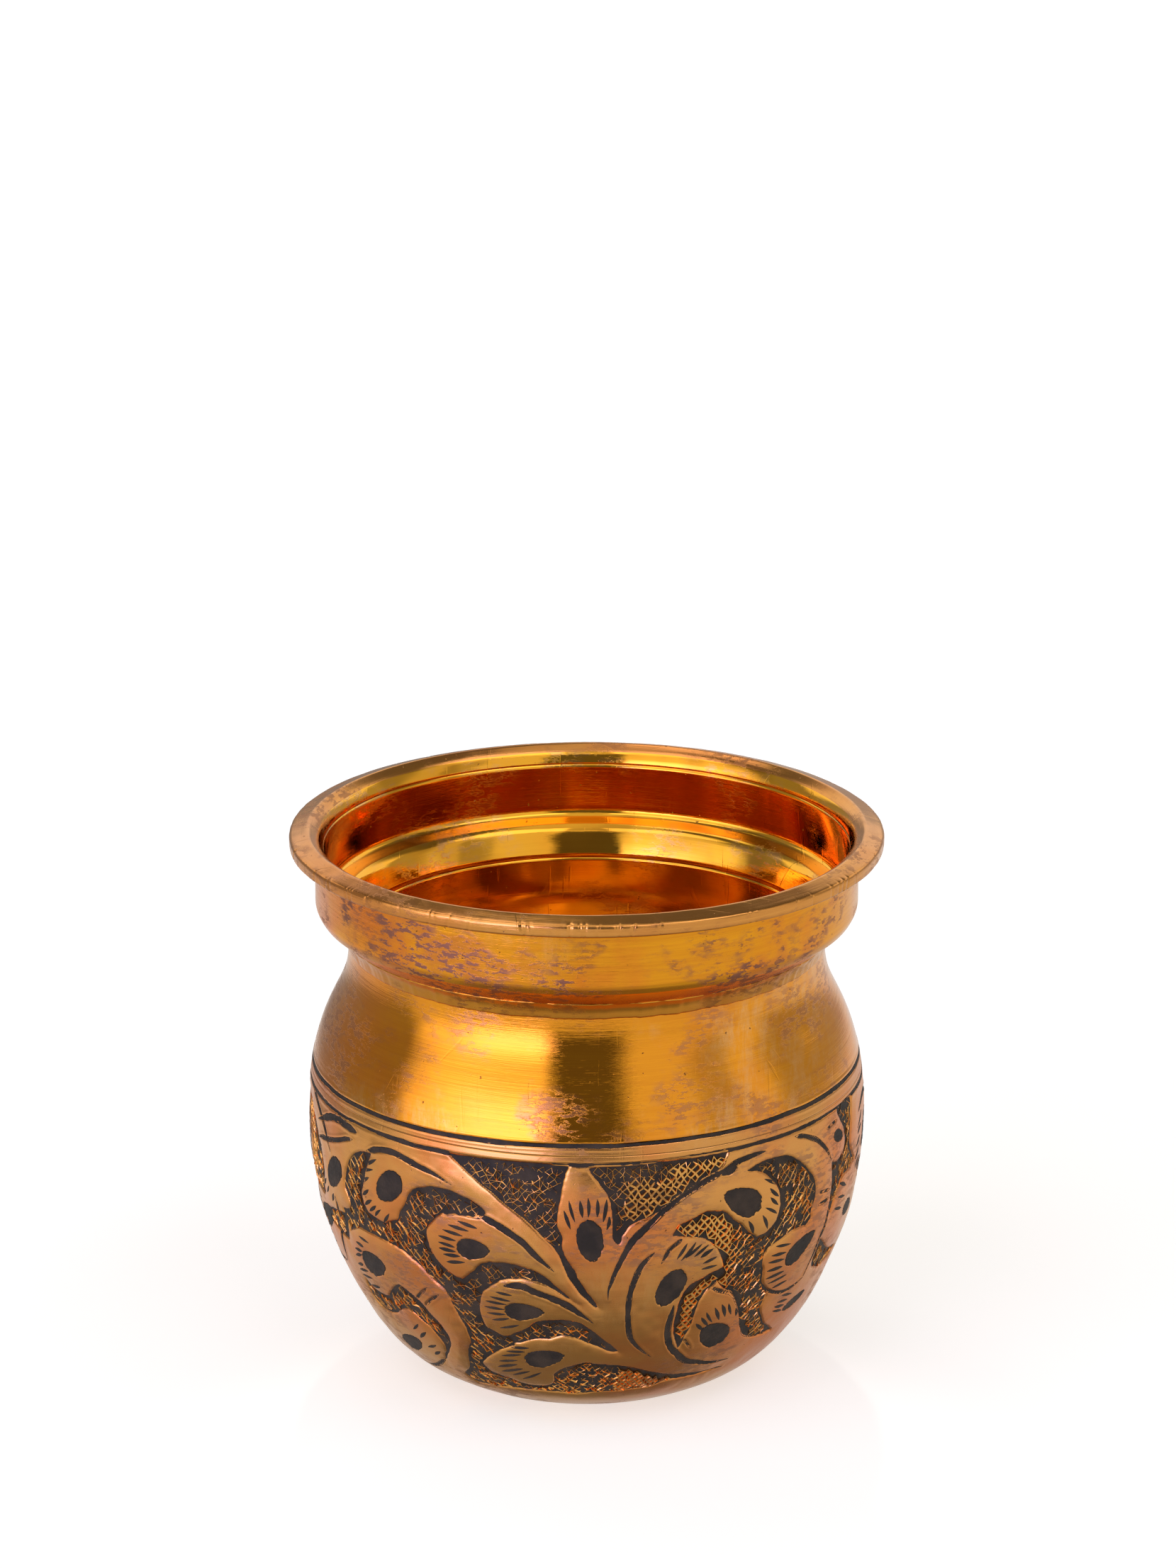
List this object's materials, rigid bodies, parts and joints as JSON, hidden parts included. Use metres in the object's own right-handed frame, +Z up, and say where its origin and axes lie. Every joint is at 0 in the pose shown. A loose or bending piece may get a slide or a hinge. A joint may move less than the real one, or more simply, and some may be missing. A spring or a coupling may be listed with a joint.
{
  "type": "kalash pot",
  "caption": "Small round-bellied brass water pot with a wide flat lip, an upright collar, a narrow neck and a lower body chased with lac-filled peacock feathers.",
  "frame": {"origin": "centre of the flat bottom, on the surface that the pot stands on", "axes": "+Z up the axis of the pot, out of its mouth; -Y faces the middle of the front feather spray"},
  "size_m": [0.108, 0.108, 0.1021],
  "materials": {
    "lip_brass": "satin",
    "upper_brass": "polished, lightly tarnished",
    "bowl_brass": "satin, hand chased",
    "braze": "dull, copper rich",
    "black_lac": "satin"
  },
  "bodies": {
    "root": {"lip_ring": "lip_brass", "collar": "upper_brass", "shoulder": "upper_brass", "bowl": "bowl_brass", "lip_braze": "braze", "neck_braze": "braze", "belly_braze": "braze", "upper_ring_lac": "black_lac", "lower_ring_lac": "black_lac", "ground_lac": "black_lac", "stem_cut_lac": "black_lac", "feather_eye_lac": "black_lac", "barb_lac": "black_lac"}
  },
  "joints": []
}
